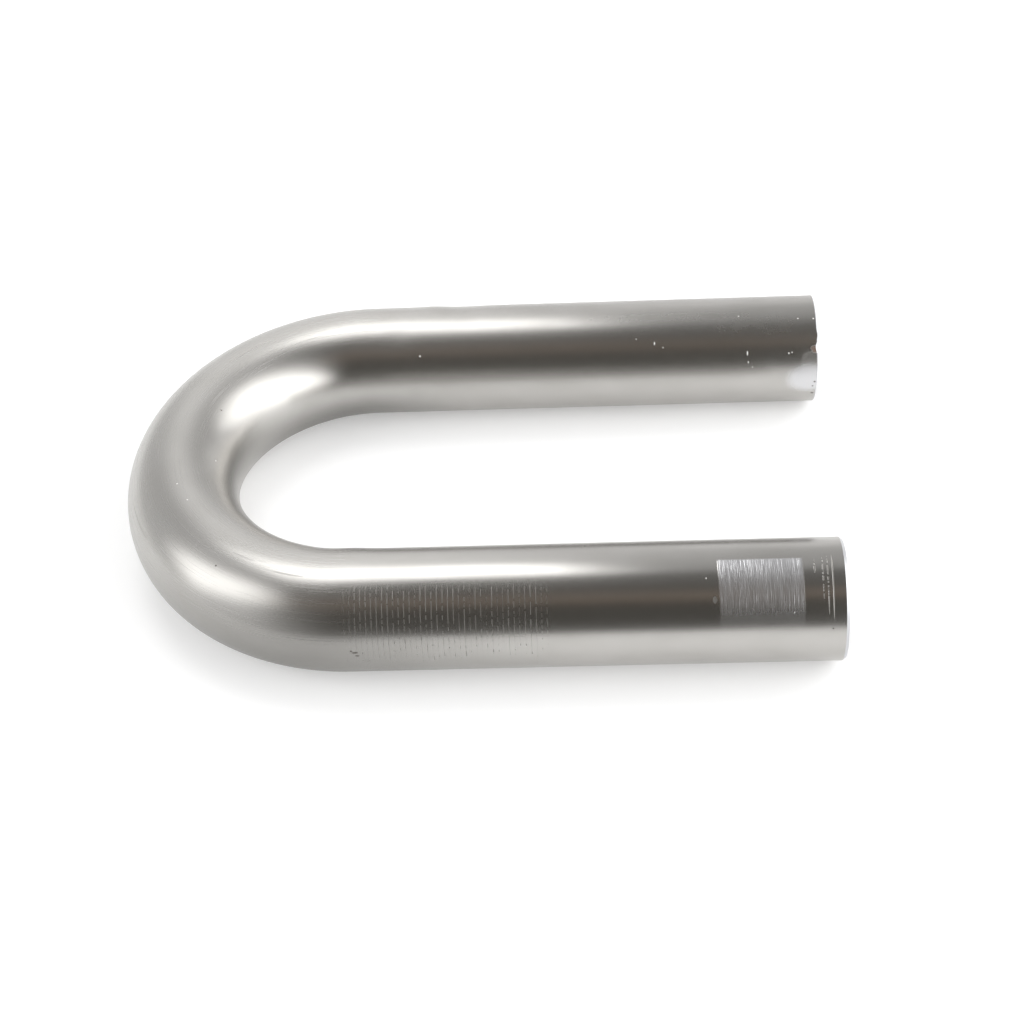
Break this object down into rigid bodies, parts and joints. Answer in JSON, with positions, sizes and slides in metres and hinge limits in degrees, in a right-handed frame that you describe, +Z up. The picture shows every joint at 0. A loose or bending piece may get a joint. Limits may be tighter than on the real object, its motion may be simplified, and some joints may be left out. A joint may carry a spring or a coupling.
{
  "type": "return bend",
  "caption": "Return bend of round steel tube, mandrel bent through half a turn into a U with straight legs to be welded or clamped into a pipe run.",
  "frame": {"origin": "on the floor that the bend lies on, at the middle of its footprint", "axes": "+X along both legs towards their mouths, +Y from the near leg to the far leg, +Z up, square to the plane of the bend"},
  "size_m": [0.2366, 0.165, 0.0381],
  "materials": {
    "bare_steel": "satin bare tube, scuffed by the bending dies"
  },
  "bodies": {
    "root": {"return_bend": "bare_steel"}
  },
  "joints": []
}
